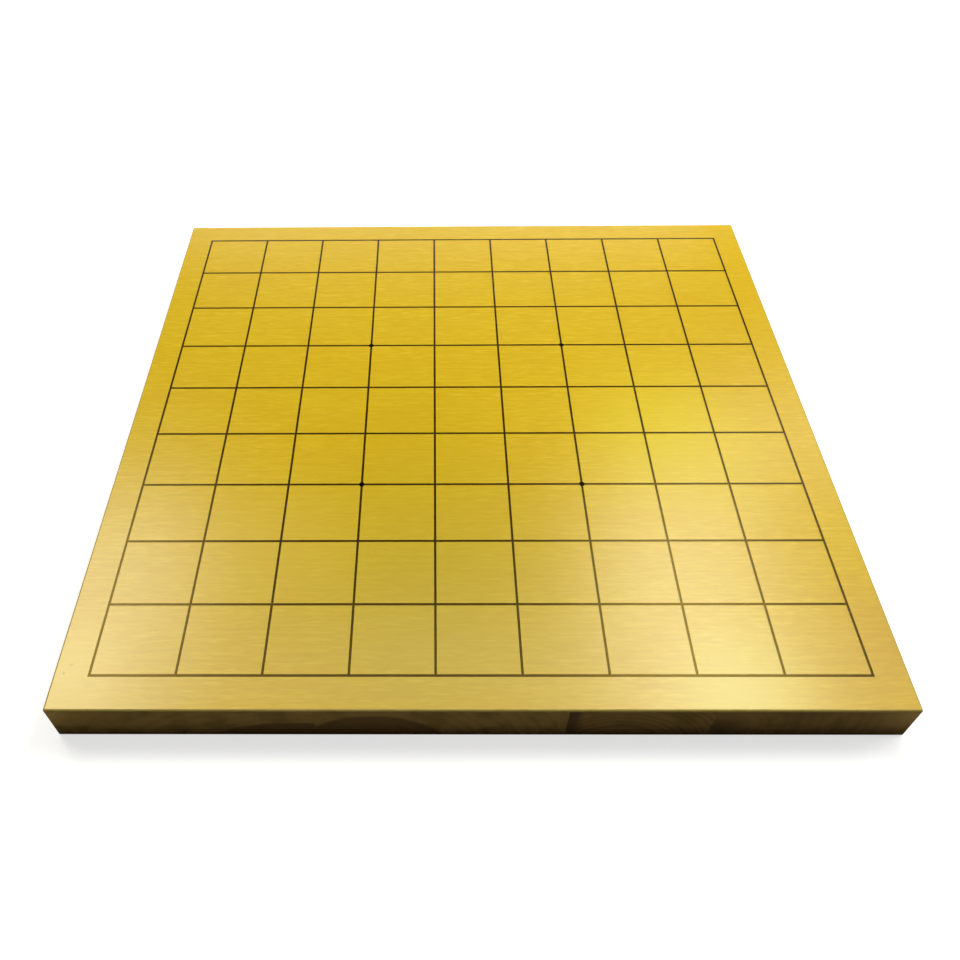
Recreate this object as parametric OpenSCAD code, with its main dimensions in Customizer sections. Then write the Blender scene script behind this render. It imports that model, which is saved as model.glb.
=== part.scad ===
// A table board for shogi, lying flat with its underside on Z = 0 and its middle on the Z axis.
// Its length runs along X, so the players sit at the two ends of X. A core of solid staves,
// glued edge to edge, runs across under a face veneer whose grain runs along the board.
// The grid of nine by nine squares is printed on the face.

/* [Board] */
// Length of the board, from one player's end to the other's
board_l = 364; // [345:1:400]
// Width of the board, from one side to the other
board_w = 333; // [320:1:370]
// Thickness of the board, both veneers included
board_t = 24; // [12:0.5:60]
// Radius of the sanded arrises, all round the face, the underside and the four corners
arris_r = 0.8; // [0.2:0.1:3]

/* [Veneers] */
// Thickness of the face veneer
face_t = 1; // [0.5:0.1:3]
// Thickness of the balancing veneer under the core
back_t = 1; // [0.5:0.1:3]

/* [Core] */
// Width of the first stave, at the -X end
stave_1_w = 112; // [60:1:120]
// Width of the second stave
stave_2_w = 107; // [60:1:120]
// Width of the third stave; the fourth fills what is left of the board's length
stave_3_w = 61; // [40:1:100]

/* [Printed grid] */
// Number of squares along each side of the grid
squares = 9; // [7:1:9]
// Pitch of the rank lines, which is the length of a square from player to player
square_l = 37; // [30:0.1:39]
// Pitch of the file lines, which is the width of a square
square_w = 33.6; // [28:0.1:36]
// Width of a printed line
line_w = 1.1; // [0.6:0.1:1.6]
// Diameter of a star point, the dot at a corner of the middle squares
star_d = 2.8; // [2:0.1:5]
// Number of squares from the outer line to a star point
star_inset = 3; // [2:1:3]
// Thickness of the printed ink film
ink_t = 0.08; // [0.04:0.01:0.3]

/* [Hidden] */
$fn = 48;

// Cut bodies run this far past the surface that they cut
over = 1;

grid_l = squares * square_l;
grid_w = squares * square_w;
core_t = board_t - face_t - back_t;

// Where each stave starts and ends along X
joint_1_x = -board_l / 2 + stave_1_w;
joint_2_x = joint_1_x + stave_2_w;
joint_3_x = joint_2_x + stave_3_w;

wood = [0.80, 0.62, 0.30];
end_grain = [0.52, 0.42, 0.22];
ink = [0.06, 0.06, 0.05];

// A rectangle about the origin with rounded corners
module rounded_rectangle(size, r) {
    square([size[0] - 2 * r, size[1]], center = true);
    square([size[0], size[1] - 2 * r], center = true);
    for (x = [-1, 1], y = [-1, 1])
        translate([x * (size[0] / 2 - r), y * (size[1] / 2 - r)]) circle(r);
}

// The whole board as sanded, from which each glued piece takes its own part
module sanded_board() {
    translate([0, 0, board_t / 2]) intersection() {
        linear_extrude(board_t + 2 * over, center = true)
            rounded_rectangle([board_l, board_w], arris_r);
        rotate([90, 0, 0]) linear_extrude(board_w + 2 * over, center = true)
            rounded_rectangle([board_l, board_t], arris_r);
        rotate([90, 0, 90]) linear_extrude(board_l + 2 * over, center = true)
            rounded_rectangle([board_w, board_t], arris_r);
    }
}

// The part of the sanded board between two heights and two places along its length
module board_piece(x0, x1, z0, z1) {
    intersection() {
        sanded_board();
        translate([x0, -board_w / 2 - over, z0]) cube([x1 - x0, board_w + 2 * over, z1 - z0]);
    }
}

module back_veneer() {
    color(wood) board_piece(-board_l / 2 - over, board_l / 2 + over, -over, back_t);
}

module face_veneer() {
    color(wood) board_piece(-board_l / 2 - over, board_l / 2 + over, back_t + core_t, board_t + over);
}

// A stave of the core between two places along the board
module stave(x0, x1) {
    color(end_grain) board_piece(x0, x1, back_t, back_t + core_t);
}

module core_stave_1() {
    stave(-board_l / 2 - over, joint_1_x);
}

module core_stave_2() {
    stave(joint_1_x, joint_2_x);
}

module core_stave_3() {
    stave(joint_2_x, joint_3_x);
}

module core_stave_4() {
    stave(joint_3_x, board_l / 2 + over);
}

// Ink lies on the face, and is printed only once where a line and a dot meet
module print_film() {
    color(ink) translate([0, 0, board_t]) linear_extrude(ink_t) children();
}

// The four dots, where the lines that are star_inset squares in cross each other
module star_dots() {
    for (x = [-1, 1], y = [-1, 1])
        translate([x * (grid_l / 2 - star_inset * square_l), y * (grid_w / 2 - star_inset * square_w)])
            circle(d = star_d);
}

// Lines that run from player to player, whole from end to end
module file_lines() {
    print_film() difference() {
        for (i = [0 : squares])
            translate([0, i * square_w - grid_w / 2]) square([grid_l + line_w, line_w], center = true);
        star_dots();
    }
}

// Lines across the board, in short lengths between the file lines
module rank_lines() {
    print_film() difference() {
        for (i = [0 : squares], j = [0 : squares - 1])
            translate([i * square_l - grid_l / 2, (j + 0.5) * square_w - grid_w / 2])
                square([line_w, square_w - line_w], center = true);
        star_dots();
    }
}

module star_points() {
    print_film() star_dots();
}

back_veneer();
core_stave_1();
core_stave_2();
core_stave_3();
core_stave_4();
face_veneer();
file_lines();
rank_lines();
star_points();
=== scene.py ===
"""The looks of a table board for shogi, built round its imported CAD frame.

The board lies with its underside on Z = 0, its length along X and its middle on the Z axis.
The glued wood pieces are modelled again here, with round arrises and fine glue lines, and
each stands for one CAD node. The printed lines and dots stay as the CAD has them and get
their ink.
"""

from __future__ import annotations

import logging
import math
from collections.abc import Callable, Iterable, Mapping, Sequence
from dataclasses import dataclass, field
from enum import Enum
from typing import Any

import bpy
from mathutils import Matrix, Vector

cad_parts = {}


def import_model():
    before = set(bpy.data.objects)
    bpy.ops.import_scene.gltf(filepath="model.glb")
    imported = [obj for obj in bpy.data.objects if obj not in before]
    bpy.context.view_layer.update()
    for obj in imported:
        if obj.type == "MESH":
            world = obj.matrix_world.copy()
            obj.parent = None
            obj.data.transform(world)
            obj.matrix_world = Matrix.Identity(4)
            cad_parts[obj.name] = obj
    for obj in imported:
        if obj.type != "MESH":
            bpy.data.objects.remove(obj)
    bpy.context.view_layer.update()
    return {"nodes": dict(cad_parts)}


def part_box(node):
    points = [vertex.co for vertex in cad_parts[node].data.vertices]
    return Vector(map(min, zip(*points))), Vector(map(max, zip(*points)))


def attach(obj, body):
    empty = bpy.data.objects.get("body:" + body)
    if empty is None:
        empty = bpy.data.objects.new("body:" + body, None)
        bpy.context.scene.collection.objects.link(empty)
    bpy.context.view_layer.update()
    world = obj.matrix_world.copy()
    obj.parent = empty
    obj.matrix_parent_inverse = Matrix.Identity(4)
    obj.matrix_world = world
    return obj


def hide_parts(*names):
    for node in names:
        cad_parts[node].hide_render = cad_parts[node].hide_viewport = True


# A millimetre in metres
MM = 0.001
# Width and height of the picture that is rendered
IMAGE_SIDE_PX = 960
# Middle of the playing face, in metres
FACE_MIDDLE = (0.0, 0.0, 0.024)

log = logging.getLogger("shogi_board")


class Run(Enum):
    """The way that the grain of a piece runs, as a 1 for the axis X, Y or Z that it follows."""

    ALONG_BOARD = (1, 0, 0)
    ACROSS_BOARD = (0, 1, 0)

    def stretch(self, length_mm: float, width_mm: float) -> tuple[float, float, float]:
        """Gives the scale, from metres to marks, for marks of this length and width in mm."""
        return tuple(1 / (MM * (length_mm if along else width_mm)) for along in self.value)


def linear(code: str) -> tuple[float, float, float, float]:
    """Turns an sRGB hex colour into the linear values that Blender's sockets take.

    Args:
        code: the colour as "#RRGGBB".

    Returns:
        Red, green, blue and an alpha of 1.
    """
    shown = [int(code[i:i + 2], 16) / 255 for i in (1, 3, 5)]
    r, g, b = (c / 12.92 if c <= 0.04045 else ((c + 0.055) / 1.055) ** 2.4 for c in shown)
    return r, g, b, 1.0


def add_node(
    tree: bpy.types.NodeTree,
    kind: str,
    settings: Mapping[str, Any] | None = None,
    sockets: Mapping[str | int, Any] | None = None,
) -> bpy.types.Node:
    """Adds a node with its settings and its links.

    Args:
        tree: the node tree that it goes into.
        kind: the node's type, such as "ShaderNodeTexNoise".
        settings: the node's own properties by name.
        sockets: values by input name or number. Another node's output is linked.

    Returns:
        The new node.
    """
    node = tree.nodes.new(kind)
    for name, value in (settings or {}).items():
        setattr(node, name, value)
    for name, value in (sockets or {}).items():
        if isinstance(value, bpy.types.NodeSocket):
            tree.links.new(value, node.inputs[name])
        else:
            node.inputs[name].default_value = value
    return node


def tinted(
    tree: bpy.types.NodeTree,
    factor: bpy.types.NodeSocket,
    under: bpy.types.NodeSocket | Sequence[float],
    over: bpy.types.NodeSocket | Sequence[float],
    share: float = 1.0,
) -> bpy.types.NodeSocket:
    """Lays one colour over another where a figure shows.

    Args:
        tree: the node tree that it goes into.
        factor: the figure, from 0 to 1.
        under: the colour so far.
        over: the figure's colour.
        share: how much of the figure's colour shows where the figure is 1.

    Returns:
        The mixed colour.
    """
    scaled = add_node(tree, "ShaderNodeMath", {"operation": "MULTIPLY"}, {0: factor, 1: share})
    mix = add_node(tree, "ShaderNodeMix", {"data_type": "RGBA"},
                   {0: scaled.outputs[0], 6: under, 7: over})
    return mix.outputs[2]


@dataclass(frozen=True)
class Figure:
    """One layer of a wood's figure: soft noise, drawn out along the grain.

    Attributes:
        length_mm: length of one mark along the grain.
        width_mm: width of one mark across the grain.
        detail: octaves of finer marks in it.
        low: noise value up to which nothing shows.
        high: noise value from which it shows in full.
        fineness: how strongly each finer octave shows.
    """

    length_mm: float
    width_mm: float
    detail: float
    low: float
    high: float
    fineness: float = 0.55

    def factor(
        self, tree: bpy.types.NodeTree, place: bpy.types.NodeSocket, run: Run
    ) -> bpy.types.NodeSocket:
        """Draws the layer.

        Args:
            tree: the node tree that it goes into.
            place: the Object coordinates, in metres.
            run: which way the grain runs.

        Returns:
            The output that goes from 0 to 1 where the marks are.
        """
        drawn_out = add_node(tree, "ShaderNodeMapping", None, {
            "Vector": place, "Scale": run.stretch(self.length_mm, self.width_mm)})
        noise = add_node(tree, "ShaderNodeTexNoise", None, {
            "Vector": drawn_out.outputs[0], "Scale": 1.0, "Detail": self.detail,
            "Roughness": self.fineness})
        shown = add_node(tree, "ShaderNodeMapRange", {"interpolation_type": "SMOOTHSTEP"}, {
            "Value": noise.outputs[0], "From Min": self.low, "From Max": self.high})
        return shown.outputs[0]


@dataclass(frozen=True)
class Patch:
    """One round soft-edged patch: a paler or darker place in the wood, a patch of painted shade or
    painted highlight, or a speck of dust that dried into the lacquer of the face.

    Attributes:
        colour: its own colour.
        x_mm: its place along the board.
        y_mm: its place across the board.
        radius_mm: where it has faded out, measured from its middle at the face's height.
        share: how much of its own colour shows at its middle.
    """

    colour: str
    x_mm: float
    y_mm: float
    radius_mm: float
    share: float

    def laid_over(
        self, tree: bpy.types.NodeTree, place: bpy.types.NodeSocket, under: bpy.types.NodeSocket
    ) -> bpy.types.NodeSocket:
        """Lays the patch over a colour.

        Args:
            tree: the node tree that it goes into.
            place: the Object coordinates, in metres.
            under: the colour so far.

        Returns:
            The mixed colour.
        """
        middle = (self.x_mm * MM, self.y_mm * MM, FACE_MIDDLE[2])
        away = add_node(tree, "ShaderNodeVectorMath", {"operation": "DISTANCE"},
                        {0: place, 1: middle})
        shown = add_node(tree, "ShaderNodeMapRange", {"interpolation_type": "SMOOTHSTEP"}, {
            "Value": away.outputs["Value"], "From Min": self.radius_mm * MM, "From Max": 0.0})
        return tinted(tree, shown.outputs[0], under, linear(self.colour), self.share)


@dataclass(frozen=True)
class Finish:
    """What one kind of surface is, from which its material is made.

    Attributes:
        name: the material's name.
    """

    name: str

    def material(self) -> bpy.types.Material:
        """Makes the material.

        Returns:
            The material, ready to assign.
        """
        material = bpy.data.materials.new(self.name)
        material.use_nodes = True
        tree = material.node_tree
        tree.nodes.clear()
        add_node(tree, "ShaderNodeOutputMaterial", None, {"Surface": self.surface(tree)})
        return material

    def surface(self, tree: bpy.types.NodeTree) -> bpy.types.NodeSocket:
        """Draws the surface and returns its shader. Each kind of finish draws its own."""
        raise NotImplementedError


@dataclass(frozen=True)
class LacqueredVeneer(Finish):
    """Katsura veneer, sliced, sanded and sprayed with a yellow semi-gloss lacquer.

    The lacquer gives a strong amber yellow with a soft wide sheen. The wood gives short
    vessels, hardly darker than the ground, paler rays, long faint growth rings and very weak
    clouds. Real vessels and rays are under 0.1 mm wide. They are drawn in bundles about 1 mm
    wide, as coarse as they need to be to show.

    Attributes:
        ground: colour of the wood between its marks.
        vessel: colour of the vessels.
        ray: colour of the rays.
        cloud: colour of the clouds.
        ring: colour of the growth rings, which are cut lengthways.
        gloss: how much lacquer there is.
        gloss_roughness: how widely the lacquer spreads what it mirrors.
        vessels: the vessels' pattern.
        rays: the rays' pattern.
        rings: the growth rings' pattern.
        clouds: the clouds' pattern.
        mark_share: how much of its own colour each mark but a cloud shows.
        patches: its paler and darker places, some of them painted shade and painted highlights, and
            its specks.
        roughness: roughness of the wood under the lacquer.
        lacquer_ior: how strongly the lacquer bends light.
        relief_mm: depth of the vessels that the lacquer leaves open.
        relief_strength: how much of that depth the light catches.
    """

    ground: str
    vessel: str
    ray: str
    cloud: str
    ring: str
    gloss: float = 1.0
    gloss_roughness: float = 0.25
    vessels: Figure = Figure(6.5, 0.85, 2.0, 0.38, 0.70)
    rays: Figure = Figure(11.0, 1.1, 1.0, 0.48, 0.74)
    rings: Figure = Figure(60.0, 1.5, 1.0, 0.38, 0.68)
    clouds: Figure = Figure(42.0, 26.0, 2.0, 0.35, 0.68)
    mark_share: float = 0.6
    patches: tuple[Patch, ...] = ()
    roughness: float = 0.6
    lacquer_ior: float = 1.5
    relief_mm: float = 0.006
    relief_strength: float = 0.35

    def surface(self, tree: bpy.types.NodeTree) -> bpy.types.NodeSocket:
        """Draws the wood's marks, its patches and the lacquer over them.

        Args:
            tree: the node tree that it goes into.

        Returns:
            The shader that covers the surface.
        """
        place = add_node(tree, "ShaderNodeTexCoord").outputs["Object"]
        clouds, rings, rays, vessels = (
            figure.factor(tree, place, Run.ALONG_BOARD)
            for figure in (self.clouds, self.rings, self.rays, self.vessels))
        colour = tinted(tree, clouds, linear(self.ground), linear(self.cloud))
        for marks, tone in ((rings, self.ring), (rays, self.ray), (vessels, self.vessel)):
            colour = tinted(tree, marks, colour, linear(tone), self.mark_share)
        for patch in self.patches:
            colour = patch.laid_over(tree, place, colour)
        relief = add_node(tree, "ShaderNodeBump", {"invert": True}, {
            "Strength": self.relief_strength, "Distance": self.relief_mm * MM,
            "Height": vessels}).outputs[0]
        return add_node(tree, "ShaderNodeBsdfPrincipled", None, {
            "Base Color": colour, "Roughness": self.roughness, "Specular IOR Level": 0.0,
            "Coat Weight": self.gloss, "Coat Roughness": self.gloss_roughness,
            "Coat IOR": self.lacquer_ior, "Normal": relief, "Coat Normal": relief}).outputs[0]


@dataclass(frozen=True)
class SandedAndShadedEdge(Finish):
    """Cut edge and arris of a katsura veneer, sanded through its lacquer and sealed with the core.

    Bare sealed wood has no shine. Its colour is greyer and darker than the face, partly as painted
    shade of an arris that turns away from the lamps, so the edge shows as a thin dull line.
    Its pores are drawn 0.5 mm wide, as coarse as they need to be to show.

    Attributes:
        wood: colour of the bare wood, darkened with painted shade.
        pore: colour of its pores.
        pores: the pores' pattern.
        pore_share: how much of the pores' colour shows.
        roughness: roughness of the sanded wood.
    """

    # Darker and greyer than the face: partly painted shade where the arris turns away from the
    # lamps
    wood: str = "#BDA75C"
    pore: str = "#9E8846"
    pores: Figure = Figure(6.0, 0.5, 2.0, 0.4, 0.7)
    pore_share: float = 0.5
    roughness: float = 0.7

    def surface(self, tree: bpy.types.NodeTree) -> bpy.types.NodeSocket:
        """Draws the bare wood and its pores.

        Args:
            tree: the node tree that it goes into.

        Returns:
            The shader that covers the surface.
        """
        place = add_node(tree, "ShaderNodeTexCoord").outputs["Object"]
        pores = self.pores.factor(tree, place, Run.ALONG_BOARD)
        colour = tinted(tree, pores, linear(self.wood), linear(self.pore), self.pore_share)
        return add_node(tree, "ShaderNodeBsdfPrincipled", None, {
            "Base Color": colour, "Roughness": self.roughness,
            "Specular IOR Level": 0.0}).outputs[0]


@dataclass(frozen=True)
class SealedStave(Finish):
    """Pine stave, sawn, sanded and sealed, with its growth rings round a pith of its own.

    End grain drinks the sealer, so it has no shine. It is an olive brown with darker latewood
    lines, and shows arcs where the cut crosses the rings. Lengthways cuts show the same rings
    as lines. Heartwood near the pith is darker. Each cut is also darker towards its bottom,
    which is painted shade. Real pores are finer than the 0.35 mm that they are drawn
    wide, which is as coarse as they need to be to show.

    Attributes:
        early: colour of the earlywood, the pale part of each year's ring.
        late: colour of the latewood, the dark end of each year's ring.
        heart: colour of the heartwood, the pores and the stain.
        pith_x_mm: place of the pith along the board.
        pith_z_mm: height of the pith.
        ring_mm: width of a year's ring.
        heart_radius_mm: radius of the heartwood round the pith.
        heart_edge_mm: half the width over which the heartwood fades out.
        stained_from_x_mm: where a dark stain starts along the board.
        stained_width_mm: how far along the board the stain reaches, or 0 for none.
        stain_full: the share of that width over which the stain keeps its full strength.
        late_share: how much of the latewood's colour shows.
        heart_share: how much of the heartwood's colour shows.
        stain_share: how much of the stain's colour shows.
        wander_mm: how far the rings stray from true circles.
        wander_span_mm: the spans along X, Y and Z over which they stray.
        uneven_years: how far the rings run ahead of even spacing at most, in rings.
        uneven_per_year: how quickly that changes from ring to ring.
        late_from: the part of a ring at which its latewood starts.
        late_full: the part of a ring at which its latewood is darkest.
        late_end: the part of a ring at which its latewood starts to end.
        blotch: colour of the blotches that the sealer leaves.
        blotches: the blotches' pattern.
        blotch_share: how much of the blotches' colour shows.
        pores: the pores' pattern.
        pore_share: how much of the pores' colour shows.
        foot: colour of the painted shade at the bottom of each cut.
        foot_top_mm: height at which the painted shade at the bottom has faded out.
        foot_share: how much of the painted shade's colour shows.
        patches: its paler and darker places, some of them painted highlights.
        roughness: roughness of the sealed wood.
        relief_mm: depth of the open pores.
        relief_strength: how much of that depth the light catches.
    """

    early: str
    late: str
    heart: str
    pith_x_mm: float
    pith_z_mm: float
    ring_mm: float
    heart_radius_mm: float
    heart_edge_mm: float
    stained_from_x_mm: float = 0.0
    stained_width_mm: float = 0.0
    stain_full: float = 0.35
    late_share: float = 0.3
    heart_share: float = 0.75
    stain_share: float = 0.8
    wander_mm: float = 2.4
    wander_span_mm: tuple[float, float, float] = (22.0, 260.0, 14.0)
    uneven_years: float = 2.4
    uneven_per_year: float = 0.35
    late_from: float = 0.35
    late_full: float = 0.88
    late_end: float = 0.93
    blotch: str = "#5E5426"
    blotches: Figure = Figure(90.0, 13.0, 2.0, 0.45, 0.7)
    blotch_share: float = 0.4
    pores: Figure = Figure(3.0, 0.35, 2.0, 0.4, 0.7)
    pore_share: float = 0.16
    foot: str = "#2B2414"
    foot_top_mm: float = 15.0
    foot_share: float = 0.4
    patches: tuple[Patch, ...] = ()
    roughness: float = 0.7
    relief_mm: float = 0.03
    relief_strength: float = 0.4

    def pith_distance(
        self, tree: bpy.types.NodeTree, place: bpy.types.NodeSocket
    ) -> bpy.types.NodeSocket:
        """Works out how far each point is from the pith, with the rings' natural wander.

        Args:
            tree: the node tree that it goes into.
            place: the Object coordinates, in metres.

        Returns:
            The distance in millimetres.
        """
        from_pith = add_node(tree, "ShaderNodeMapping", None, {
            "Vector": place, "Location": (-self.pith_x_mm, 0, -self.pith_z_mm),
            "Scale": (1 / MM, 0, 1 / MM)})
        radius = add_node(tree, "ShaderNodeVectorMath", {"operation": "LENGTH"},
                          {0: from_pith.outputs[0]})
        # The pith's place also moves the noise, so that no two staves wander alike
        slow = add_node(tree, "ShaderNodeMapping", None, {
            "Vector": place, "Scale": tuple(1 / (span * MM) for span in self.wander_span_mm),
            "Location": (self.pith_x_mm, 0, 0)})
        wander = add_node(tree, "ShaderNodeTexNoise", None, {
            "Vector": slow.outputs[0], "Scale": 1.0, "Detail": 3.0, "Roughness": 0.5})
        bent = add_node(tree, "ShaderNodeMath", {"operation": "MULTIPLY_ADD"}, {
            0: wander.outputs[0], 1: 2 * self.wander_mm, 2: radius.outputs["Value"]})
        centred = add_node(tree, "ShaderNodeMath", {"operation": "SUBTRACT"},
                           {0: bent.outputs[0], 1: self.wander_mm})
        return centred.outputs[0]

    def latewood(
        self, tree: bpy.types.NodeTree, distance: bpy.types.NodeSocket
    ) -> bpy.types.NodeSocket:
        """Draws each year's ring, pale at first and darkening to a thin line that ends sharply.

        Args:
            tree: the node tree that it goes into.
            distance: distance from the pith in millimetres.

        Returns:
            The output that rises from 0 to 1 in each ring.
        """
        years = add_node(tree, "ShaderNodeMath", {"operation": "DIVIDE"},
                         {0: distance, 1: self.ring_mm})
        uneven = add_node(tree, "ShaderNodeTexNoise", {"noise_dimensions": "1D"}, {
            "W": years.outputs[0], "Scale": self.uneven_per_year, "Detail": 1.0})
        shifted = add_node(tree, "ShaderNodeMath", {"operation": "MULTIPLY_ADD"}, {
            0: uneven.outputs[0], 1: self.uneven_years, 2: years.outputs[0]})
        part = add_node(tree, "ShaderNodeMath", {"operation": "FRACT"}, {0: shifted.outputs[0]})
        rise = add_node(tree, "ShaderNodeMapRange", {"interpolation_type": "SMOOTHSTEP"}, {
            "Value": part.outputs[0], "From Min": self.late_from, "From Max": self.late_full})
        fall = add_node(tree, "ShaderNodeMapRange", {"interpolation_type": "SMOOTHSTEP"}, {
            "Value": part.outputs[0], "From Min": 1.0, "From Max": self.late_end})
        return add_node(tree, "ShaderNodeMath", {"operation": "MULTIPLY"},
                        {0: rise.outputs[0], 1: fall.outputs[0]}).outputs[0]

    def stained(
        self,
        tree: bpy.types.NodeTree,
        along: bpy.types.NodeSocket,
        colour: bpy.types.NodeSocket,
    ) -> bpy.types.NodeSocket:
        """Lays the dark stain over a colour, on a stave that has one.

        Args:
            tree: the node tree that it goes into.
            along: the place along the board, in metres.
            colour: the colour so far.

        Returns:
            The colour with the stain in it, or as it was where the stave has none.
        """
        if not self.stained_width_mm:
            return colour
        end_mm = self.stained_from_x_mm + self.stained_width_mm
        full_mm = self.stained_from_x_mm + self.stain_full * self.stained_width_mm
        stain = add_node(tree, "ShaderNodeMapRange", {"interpolation_type": "SMOOTHSTEP"}, {
            "Value": along, "From Min": end_mm * MM, "From Max": full_mm * MM})
        return tinted(tree, stain.outputs[0], colour, linear(self.heart), self.stain_share)

    def surface(self, tree: bpy.types.NodeTree) -> bpy.types.NodeSocket:
        """Draws the rings, the heartwood, the blotches that the sealer left, the pores and the
        painted shade at the bottom.

        Args:
            tree: the node tree that it goes into.

        Returns:
            The shader that covers the surface.
        """
        place = add_node(tree, "ShaderNodeTexCoord").outputs["Object"]
        distance = self.pith_distance(tree, place)
        late = self.latewood(tree, distance)
        heart = add_node(tree, "ShaderNodeMapRange", {"interpolation_type": "SMOOTHSTEP"}, {
            "Value": distance, "From Min": self.heart_radius_mm + self.heart_edge_mm,
            "From Max": self.heart_radius_mm - self.heart_edge_mm})
        blotches, pores = (figure.factor(tree, place, Run.ACROSS_BOARD)
                           for figure in (self.blotches, self.pores))
        axes = add_node(tree, "ShaderNodeSeparateXYZ", None, {0: place})
        # Painted shade: each cut darkens towards its bottom, up to foot_top_mm
        painted_foot_shade = add_node(tree, "ShaderNodeMapRange", {"interpolation_type": "SMOOTHSTEP"}, {
            "Value": axes.outputs["Z"], "From Min": self.foot_top_mm * MM, "From Max": 0.0})
        colour = tinted(tree, late, linear(self.early), linear(self.late), self.late_share)
        colour = tinted(tree, heart.outputs[0], colour, linear(self.heart), self.heart_share)
        colour = self.stained(tree, axes.outputs["X"], colour)
        colour = tinted(tree, blotches, colour, linear(self.blotch), self.blotch_share)
        colour = tinted(tree, pores, colour, linear(self.heart), self.pore_share)
        colour = tinted(tree, painted_foot_shade.outputs[0], colour, linear(self.foot), self.foot_share)
        for patch in self.patches:
            colour = patch.laid_over(tree, place, colour)
        relief = add_node(tree, "ShaderNodeBump", {"invert": True}, {
            "Strength": self.relief_strength, "Distance": self.relief_mm * MM, "Height": pores})
        return add_node(tree, "ShaderNodeBsdfPrincipled", None, {
            "Base Color": colour, "Roughness": self.roughness, "Specular IOR Level": 0.0,
            "Normal": relief.outputs[0]}).outputs[0]


@dataclass(frozen=True)
class PrintedInk(Finish):
    """Screen-printed brown-black ink under the last coat of lacquer.

    The lines are a dark warm film, a little thin in places, and the amber lacquer over them
    gives them a soft sheen of its own warm tint. The dots are full, black and duller.

    Attributes:
        full: colour of the film where it is full.
        thin: colour of the film where it is thin.
        sheen: how strongly the lacquer over the film mirrors.
        sheen_tint: tint of what it mirrors.
        roughness: how widely it spreads what it mirrors.
        lacquer_ior: how strongly the lacquer bends light.
        thin_places: the pattern of the thin places.
        relief_mm: how much the film's thickness varies.
        relief_strength: how much of that the light catches.
    """

    full: str
    thin: str
    sheen: float
    sheen_tint: str = "#FFD860"
    roughness: float = 0.25
    lacquer_ior: float = 1.5
    thin_places: Figure = Figure(5.0, 0.6, 2.0, 0.5, 0.75)
    relief_mm: float = 0.01
    relief_strength: float = 0.2

    def surface(self, tree: bpy.types.NodeTree) -> bpy.types.NodeSocket:
        """Draws the film and its thin places.

        Args:
            tree: the node tree that it goes into.

        Returns:
            The shader that covers the surface.
        """
        place = add_node(tree, "ShaderNodeTexCoord").outputs["Object"]
        thin = self.thin_places.factor(tree, place, Run.ALONG_BOARD)
        relief = add_node(tree, "ShaderNodeBump", None, {
            "Strength": self.relief_strength, "Distance": self.relief_mm * MM, "Height": thin})
        return add_node(tree, "ShaderNodeBsdfPrincipled", None, {
            "Base Color": tinted(tree, thin, linear(self.full), linear(self.thin)),
            "Roughness": self.roughness, "IOR": self.lacquer_ior,
            "Specular IOR Level": self.sheen, "Specular Tint": linear(self.sheen_tint),
            "Normal": relief.outputs[0]}).outputs[0]


@dataclass(frozen=True)
class PaleSweep(Finish):
    """Matt pale paper under and round the board. It keeps the board's shadow and otherwise
    shows white.

    Attributes:
        paper: colour of the paper.
        lift: how much white is added where the paper is seen, straight or in a reflection.
    """

    name: str = "matt_paper_sweep"
    paper: str = "#CFCFCC"
    lift: float = 0.7

    def surface(self, tree: bpy.types.NodeTree) -> bpy.types.NodeSocket:
        """Draws the paper, which is the same all over.

        Args:
            tree: the node tree that it goes into.

        Returns:
            The shader that covers the surface.
        """
        rays = add_node(tree, "ShaderNodeLightPath")
        straight_or_mirrored = add_node(tree, "ShaderNodeMath", {"operation": "MAXIMUM"}, {
            0: rays.outputs["Is Camera Ray"], 1: rays.outputs["Is Glossy Ray"]})
        seen = add_node(tree, "ShaderNodeMath", {"operation": "MAXIMUM"}, {
            0: straight_or_mirrored.outputs[0], 1: rays.outputs["Is Transmission Ray"]})
        glow = add_node(tree, "ShaderNodeMath", {"operation": "MULTIPLY"},
                        {0: seen.outputs[0], 1: self.lift})
        white = add_node(tree, "ShaderNodeEmission", None, {"Strength": glow.outputs[0]})
        paper = add_node(tree, "ShaderNodeBsdfDiffuse", None, {"Color": linear(self.paper)})
        return add_node(tree, "ShaderNodeAddShader", None,
                        {0: paper.outputs[0], 1: white.outputs[0]}).outputs[0]


def select_only(piece: bpy.types.Object) -> None:
    """Deselects everything, then selects a piece and makes it the active one.

    Args:
        piece: the piece.
    """
    bpy.ops.object.select_all(action="DESELECT")
    piece.select_set(True)
    bpy.context.view_layer.objects.active = piece


def deselect_mesh(mesh: bpy.types.Mesh) -> None:
    """Deselects all of a mesh, in object mode."""
    for part in (*mesh.polygons, *mesh.edges, *mesh.vertices):
        part.select = False


def edit_edges(piece: bpy.types.Object, wanted: Callable[[Vector, Vector], bool]) -> None:
    """Goes into edit mode with only those edges selected that a test picks.

    Args:
        piece: the piece, in object mode.
        wanted: the test, which gets the places of an edge's two ends.
    """
    select_only(piece)
    mesh = piece.data
    bpy.context.tool_settings.mesh_select_mode = (False, True, False)
    deselect_mesh(mesh)
    for edge in mesh.edges:
        edge.select = wanted(*(mesh.vertices[v].co for v in edge.vertices))
    bpy.ops.object.mode_set(mode="EDIT")


def edit_faces(piece: bpy.types.Object, wanted: Callable[[Vector], bool]) -> None:
    """Goes into edit mode with only those faces selected that a test picks.

    Args:
        piece: the piece, in object mode.
        wanted: the test, which gets a face's normal.
    """
    select_only(piece)
    mesh = piece.data
    bpy.context.tool_settings.mesh_select_mode = (False, False, True)
    deselect_mesh(mesh)
    for face in mesh.polygons:
        face.select = wanted(face.normal)
    bpy.ops.object.mode_set(mode="EDIT")


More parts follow.
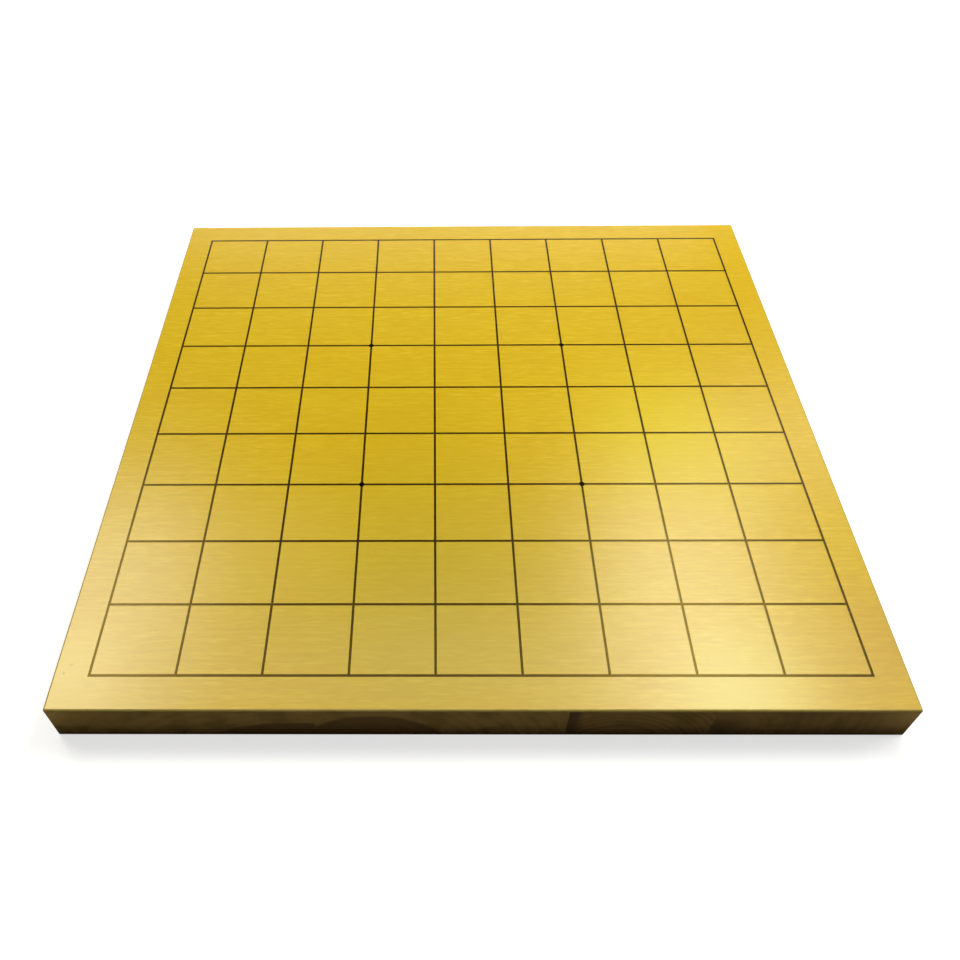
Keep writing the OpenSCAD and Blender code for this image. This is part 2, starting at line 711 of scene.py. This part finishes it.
@dataclass(frozen=True)
class BoardBox:
    """The outside of the whole wooden board, as the CAD has it.

    Attributes:
        low: its lowest corner in metres.
        high: its highest corner in metres.
    """

    low: Vector
    high: Vector

    @classmethod
    def from_nodes(cls, nodes: Iterable[str]) -> BoardBox:
        """Takes the box round some CAD nodes.

        Args:
            nodes: their names.

        Returns:
            The box.
        """
        corners = [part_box(n) for n in nodes]
        return cls(Vector(min(c[0][i] for c in corners) for i in range(3)),
                   Vector(max(c[1][i] for c in corners) for i in range(3)))

    def faces_at(self, point: Vector, reach: float = 0.01 * MM) -> int:
        """Counts the outer faces of the board that a point lies on, or within a reach in metres."""
        return sum(min(point[i] - self.low[i], self.high[i] - point[i]) < reach
                   for i in range(3))


@dataclass
class WoodPiece:
    """A glued piece of the board: a sawn blank, sanded round where it is the board's outside.

    Attributes:
        name: the piece's name.
        node: the CAD node that it stands for.
        slot: the record's material slot that it belongs to. It is not used.
        finish: the finish all over it.
        board: the outside of the whole board.
        edge: a finish of its own for a veneer's cut edge and arris, or none.
        arris_mm: radius of the sanded arrises.
        arris_steps: flats that make up each round arris.
        glue_line_mm: width of the eased edge on each side of a glue line.
        sharp_turn: angle in radians past which an edge is sharp.
        smooth_turn: angle in radians up to which an edge is shaded smooth.
        flat_share: how upright a face's normal is on a veneer's flat, where 1 is upright.
        piece: the piece itself, once it is sawn.
    """

    name: str
    node: str
    slot: str
    finish: Finish
    board: BoardBox
    edge: SandedAndShadedEdge | None = None
    arris_mm: float = 0.8
    arris_steps: int = 6
    glue_line_mm: float = 0.07
    sharp_turn: float = 1.0
    smooth_turn: float = math.radians(30)
    flat_share: float = 0.995
    piece: bpy.types.Object = field(init=False)

    def build(self) -> bpy.types.Object:
        """Models and dresses the piece.

        Returns:
            The finished piece.
        """
        self.saw_blank()
        self.sand_arrises()
        self.ease_glue_lines()
        self.smooth()
        self.dress()
        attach(self.piece, "root")
        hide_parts(self.node)
        return self.piece

    def saw_blank(self) -> None:
        """Adds the square-edged blank at the CAD node's size and place."""
        low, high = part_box(self.node)
        bpy.ops.object.select_all(action="DESELECT")
        bpy.ops.mesh.primitive_cube_add(size=1, location=(low + high) / 2, scale=high - low)
        self.piece = bpy.context.active_object
        self.piece.name = self.piece.data.name = self.name
        bpy.ops.object.transform_apply(location=True, rotation=True, scale=True)

    def sand_arrises(self) -> None:
        """Rounds the edges where two outer faces of the board meet."""
        edit_edges(self.piece, lambda a, b: self.board.faces_at((a + b) / 2) >= 2)
        bpy.ops.mesh.bevel(offset=self.arris_mm * MM, offset_type="OFFSET",
                           segments=self.arris_steps, profile=0.5, affect="EDGES",
                           clamp_overlap=True)
        bpy.ops.object.mode_set(mode="OBJECT")

    def sharp_edges(self) -> set[frozenset[tuple[float, float, float]]]:
        """Finds the edges at which two faces of the piece meet sharply.

        Returns:
            Each such edge, as the places of its two ends.
        """
        normals: dict[tuple[int, int], list[Vector]] = {}
        for face in self.piece.data.polygons:
            for key in face.edge_keys:
                normals.setdefault(key, []).append(face.normal.copy())
        vertices = self.piece.data.vertices
        return {frozenset(tuple(vertices[end].co) for end in key)
                for key, pair in normals.items()
                if len(pair) == 2 and pair[0].angle(pair[1]) > self.sharp_turn}

    def ease_glue_lines(self) -> None:
        """Breaks the sharp edges along the glue lines, which leaves a hair-fine groove there."""
        sharp = self.sharp_edges()
        edit_edges(self.piece, lambda a, b: frozenset((tuple(a), tuple(b))) in sharp
                   and self.board.faces_at((a + b) / 2, self.arris_mm * MM) >= 1)
        bpy.ops.mesh.bevel(offset=self.glue_line_mm * MM, offset_type="OFFSET", segments=1,
                           affect="EDGES")
        bpy.ops.object.mode_set(mode="OBJECT")

    def smooth(self) -> None:
        """Shades the round arrises smooth and keeps the flat faces flat."""
        select_only(self.piece)
        bpy.ops.object.shade_smooth_by_angle(angle=self.smooth_turn)
        bpy.ops.object.modifier_add(type="WEIGHTED_NORMAL")
        self.piece.modifiers[-1].keep_sharp = True
        bpy.ops.object.modifier_apply(modifier=self.piece.modifiers[-1].name)

    def dress(self) -> None:
        """Gives the piece its finish, and a veneer's cut edge and arris their own."""
        self.piece.data.materials.append(self.finish.material())
        if self.edge is None:
            return
        self.piece.data.materials.append(self.edge.material())
        outward = 1 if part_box(self.node)[1].z > FACE_MIDDLE[2] / 2 else -1
        edit_faces(self.piece, lambda normal: normal.z * outward < self.flat_share)
        self.piece.active_material_index = 1
        bpy.ops.object.material_slot_assign()
        bpy.ops.object.mode_set(mode="OBJECT")


# Paler and darker places of the face: colour, place along and across, radius and share. Three of
# them
# are painted light: the olive patch over the middle front is painted shade, and the pale patches at
# the front left and towards the front right are painted sheen.
FACE_TONES_AND_PAINTED_LIGHT = (
    # Painted shade over the middle front of the face
    Patch("#B9A52D", -18, -112, 115, 0.5),
    Patch("#E8D220", 104, -20, 75, 0.55),
    # Painted sheen at the front left corner
    Patch("#EBCA56", -178, -150, 40, 0.8),
    Patch("#D9B93C", -92, -84, 55, 0.5),
    Patch("#C9A811", -35, -22, 80, 0.35),
    Patch("#CDA41A", 182, 90, 110, 0.35),
    Patch("#C6963A", 180, -138, 50, 0.4),
    # Painted sheen towards the front right
    Patch("#E6D362", 110, -158, 45, 0.6),
)

# Specks of dust in the lacquer, near the front left corner
FACE_SPECKS = (
    Patch("#5E4420", -177.6, -150.3, 0.75, 0.55),
    Patch("#5E4420", -175.3, -146.4, 1.2, 0.22),
    Patch("#5E4420", -142.1, -130.1, 1.2, 0.1),
    Patch("#5E4420", -141.1, -159.7, 1.3, 0.1),
)


@dataclass
class Veneers:
    """The face veneer and the balancing veneer under the core.

    Attributes:
        board: the outside of the whole board.
        face: finish of the playing face.
        back: finish of the underside, which got less lacquer.
        face_edge: finish of the face veneer's cut edge.
        back_edge: finish of the balancing veneer's cut edge.
    """

    board: BoardBox
    face: LacqueredVeneer = LacqueredVeneer(
        "yellow_lacquered_katsura", ground="#DCB817", vessel="#CFA808", ray="#E4C52C",
        cloud="#DAB417", ring="#D2AA10", patches=FACE_TONES_AND_PAINTED_LIGHT + FACE_SPECKS)
    back: LacqueredVeneer = LacqueredVeneer(
        "satin_lacquered_katsura", ground="#D3AF4B", vessel="#BE9838", ray="#DBB856",
        cloud="#CCA848", ring="#CBA642", gloss=0.6, gloss_roughness=0.4)
    face_edge: SandedAndShadedEdge = SandedAndShadedEdge("sanded_and_shaded_face_edge")
    back_edge: SandedAndShadedEdge = SandedAndShadedEdge("sanded_and_shaded_back_edge")

    def build(self) -> list[bpy.types.Object]:
        """Models both veneers and returns the two pieces."""
        return [WoodPiece("lacquered_face", "face_veneer", "face_veneer", self.face,
                          self.board, self.face_edge).build(),
                WoodPiece("satin_back", "back_veneer", "back_veneer", self.back,
                          self.board, self.back_edge).build()]


@dataclass
class Core:
    """Four pine staves, glued edge to edge, each with rings of its own.

    Attributes:
        board: the outside of the whole board.
        staves: finish of each stave, from -X to +X.
    """

    board: BoardBox
    staves: tuple[SealedStave, ...] = (
        SealedStave("pine_stave_first", early="#A1824A", late="#886736", heart="#684B35",
                    pith_x_mm=-80, pith_z_mm=-60, ring_mm=7.5, heart_radius_mm=72,
                    # The pale patch at the front left end is a painted highlight
                    heart_edge_mm=1.5, patches=(Patch("#C9A766", -182, -166, 19, 0.75),)),
        SealedStave("pine_stave_second", early="#9D7F48", late="#836335", heart="#654934",
                    pith_x_mm=-45, pith_z_mm=-14.5, ring_mm=6.0, heart_radius_mm=33.5,
                    heart_edge_mm=1.5),
        SealedStave("pine_stave_third", early="#8D7043", late="#725532", heart="#57412F",
                    pith_x_mm=60, pith_z_mm=-10, ring_mm=3.6, heart_radius_mm=0,
                    heart_edge_mm=2.0, stained_from_x_mm=37, stained_width_mm=7,
                    late_share=0.55),
        SealedStave("pine_stave_fourth", early="#8D7043", late="#725532", heart="#5A4332",
                    pith_x_mm=101, pith_z_mm=9, ring_mm=5.0, heart_radius_mm=8,
                    heart_edge_mm=7.0, late_share=0.2,
                    # The pale patch at the front right end is a painted highlight
                    patches=(Patch("#C9A766", 182, -166, 24, 0.65),
                             Patch("#5A4332", 134, -166, 19, 0.4))),
    )

    def build(self) -> list[bpy.types.Object]:
        """Models the staves and returns the four pieces."""
        return [WoodPiece(stave.name, f"core_stave_{i}", "core_stave", stave, self.board).build()
                for i, stave in enumerate(self.staves, 1)]


@dataclass
class PrintedGrid:
    """The printed file lines, rank lines and star points, which keep their CAD shapes.

    Attributes:
        nodes: the CAD nodes by name.
        line_ink: ink of the lines.
        dot_ink: ink of the star points.
    """

    nodes: Mapping[str, bpy.types.Object]
    line_ink: PrintedInk = PrintedInk("screen_printed_lines", full="#322406", thin="#463208",
                                      sheen=0.5)
    dot_ink: PrintedInk = PrintedInk("screen_printed_dots", full="#0C0704", thin="#150D06",
                                     sheen=0.1)

    def dress(self) -> list[bpy.types.Object]:
        """Gives the printed nodes their ink.

        Returns:
            The three nodes.
        """
        lines, dots = self.line_ink.material(), self.dot_ink.material()
        inks = {"file_lines": lines, "rank_lines": lines, "star_points": dots}
        for name, ink in inks.items():
            for material_slot in self.nodes[name].material_slots:
                material_slot.material = ink
        return [self.nodes[name] for name in inks]


@dataclass(frozen=True)
class SoftLamp:
    """A flat rectangular studio lamp.

    Attributes:
        name: the lamp's name.
        place: its middle in metres.
        size: its width and height in metres.
        level: how bright its own face is, where 1 shows white.
        faces: the point that it faces, or none where it hangs facing straight down.
        light: the colour of its light.
    """

    name: str
    place: tuple[float, float, float]
    size: tuple[float, float]
    level: float
    faces: tuple[float, float, float] | None = None
    light: str = "#FFFFFF"

    @property
    def watts(self) -> float:
        """The power that gives the lamp's face its level."""
        return self.level * math.pi * self.size[0] * self.size[1]

    def hang(self) -> None:
        """Hangs the lamp in the scene."""
        data = bpy.data.lights.new(self.name, "AREA")
        data.shape = "RECTANGLE"
        data.size, data.size_y = self.size
        data.energy = self.watts
        data.color = linear(self.light)[:3]
        lamp = bpy.data.objects.new(self.name, data)
        lamp.location = self.place
        if self.faces:
            aim = Vector(self.faces) - lamp.location
            lamp.rotation_euler = aim.to_track_quat("-Z", "Y").to_euler()
        bpy.context.scene.collection.objects.link(lamp)


@dataclass
class Studio:
    """The pale sweep that the board lies on, its lamps and the dim room round it.

    Attributes:
        sweep: finish of the sweep.
        floor_radius: radius of its flat floor in metres.
        floor_sides: sides of its round rim.
        cove_radius: radius in metres of the cove that turns up at the rim.
        cove_steps: flats that make up the cove.
        smooth_turn: angle in radians up to which an edge is shaded smooth.
        room: colour of the room's light.
        room_level: how bright the room is.
        lamps: the lamps.
    """

    sweep: PaleSweep = PaleSweep()
    floor_radius: float = 3.0
    floor_sides: int = 96
    cove_radius: float = 0.9
    cove_steps: int = 8
    smooth_turn: float = math.radians(40)
    room: str = "#8A8D92"
    room_level: float = 0.03
    lamps: tuple[SoftLamp, ...] = (
        SoftLamp("lamp_right", (0.405, 0.355, 1.024), (0.27, 0.625), 10.8, light="#FFFFEA"),
        SoftLamp("lamp_left", (-0.66, 0.385, 1.024), (0.45, 0.555), 8.75, light="#FFFEF0"),
        SoftLamp("lamp_middle", (0.145, 0.31, 1.024), (1.04, 0.17), 3.35),
        SoftLamp("lamp_far_right", (0.875, 0.825, 1.024), (0.70, 0.10), 7.0),
        SoftLamp("lamp_back", (-0.01, 1.265, 0.674), (1.17, 0.08), 10.25, FACE_MIDDLE),
        SoftLamp("lamp_side", (0.90, 0.115, 0.724), (0.40, 0.34), 10.75, FACE_MIDDLE),
    )

    def build(self) -> None:
        """Sets the studio up."""
        self.lay_sweep()
        for lamp in self.lamps:
            lamp.hang()
        self.light_room()

    def lay_sweep(self) -> None:
        """Models the round floor, whose rim turns up in a cove."""
        bpy.ops.object.select_all(action="DESELECT")
        bpy.ops.mesh.primitive_circle_add(vertices=self.floor_sides, radius=self.floor_radius,
                                          fill_type="NGON")
        floor = bpy.context.active_object
        floor.name = floor.data.name = "paper_sweep"
        edit_edges(floor, lambda a, b: True)
        reach, rise = self.floor_radius, 0.0
        for step in range(1, self.cove_steps + 1):
            angle = math.radians(90 * step / self.cove_steps)
            wider = self.floor_radius + self.cove_radius * math.sin(angle)
            higher = self.cove_radius * (1 - math.cos(angle))
            bpy.ops.mesh.extrude_edges_move()
            bpy.ops.transform.resize(value=(wider / reach, wider / reach, 1))
            bpy.ops.transform.translate(value=(0, 0, higher - rise))
            reach, rise = wider, higher
        bpy.ops.object.mode_set(mode="OBJECT")
        select_only(floor)
        bpy.ops.object.shade_smooth_by_angle(angle=self.smooth_turn)
        floor.data.materials.append(self.sweep.material())

    def light_room(self) -> None:
        """Gives the room its dim even light."""
        world = bpy.data.worlds.new("dim_room")
        world.use_nodes = True
        world.node_tree.nodes.clear()
        room = add_node(world.node_tree, "ShaderNodeBackground", None,
                        {"Color": linear(self.room), "Strength": self.room_level})
        add_node(world.node_tree, "ShaderNodeOutputWorld", None, {"Surface": room.outputs[0]})
        bpy.context.scene.world = world


@dataclass(frozen=True)
class Viewpoint:
    """The camera, at the photograph's place and angle.

    Attributes:
        place: the lens in metres.
        turn_deg: the camera's turn about X, Y and Z.
        focal_px: the focal length in pixels of the image.
        axis_px: where the lens axis meets the image, from its left and top edges.
        sensor_mm: width of the camera's sensor.
        nearest: how near the lens things still show, in metres.
    """

    place: tuple[float, float, float] = (-0.01817, -0.32768, 0.39063)
    turn_deg: tuple[float, float, float] = (45.619, 0.6097, 0.3057)
    focal_px: float = 899.9
    axis_px: tuple[float, float] = (425.03, 349.5)
    sensor_mm: float = 36.0
    nearest: float = 0.02

    def set_camera(self) -> None:
        """Makes the scene's camera."""
        data = bpy.data.cameras.new("camera")
        data.sensor_width = self.sensor_mm
        data.lens = self.sensor_mm * self.focal_px / IMAGE_SIDE_PX
        data.shift_x = 0.5 - self.axis_px[0] / IMAGE_SIDE_PX
        data.shift_y = self.axis_px[1] / IMAGE_SIDE_PX - 0.5
        data.clip_start = self.nearest
        camera = bpy.data.objects.new("camera", data)
        camera.location = self.place
        camera.rotation_euler = [math.radians(a) for a in self.turn_deg]
        bpy.context.scene.collection.objects.link(camera)
        bpy.context.scene.camera = camera


def main() -> None:
    """Builds the board and its studio in order, and reports each piece."""
    logging.basicConfig(level=logging.INFO, format="%(name)s: %(message)s")
    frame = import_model()
    bpy.context.scene.view_settings.view_transform = "Standard"
    Viewpoint().set_camera()
    board = BoardBox.from_nodes(("face_veneer", "back_veneer"))
    pieces = Veneers(board).build() + Core(board).build() + PrintedGrid(frame["nodes"]).dress()
    for piece in pieces:
        finishes = ", ".join(material_slot.name for material_slot in piece.material_slots)
        log.info("%s: %d faces, in %s", piece.name, len(piece.data.polygons), finishes)
    Studio().build()


if __name__ == "__main__":
    main()
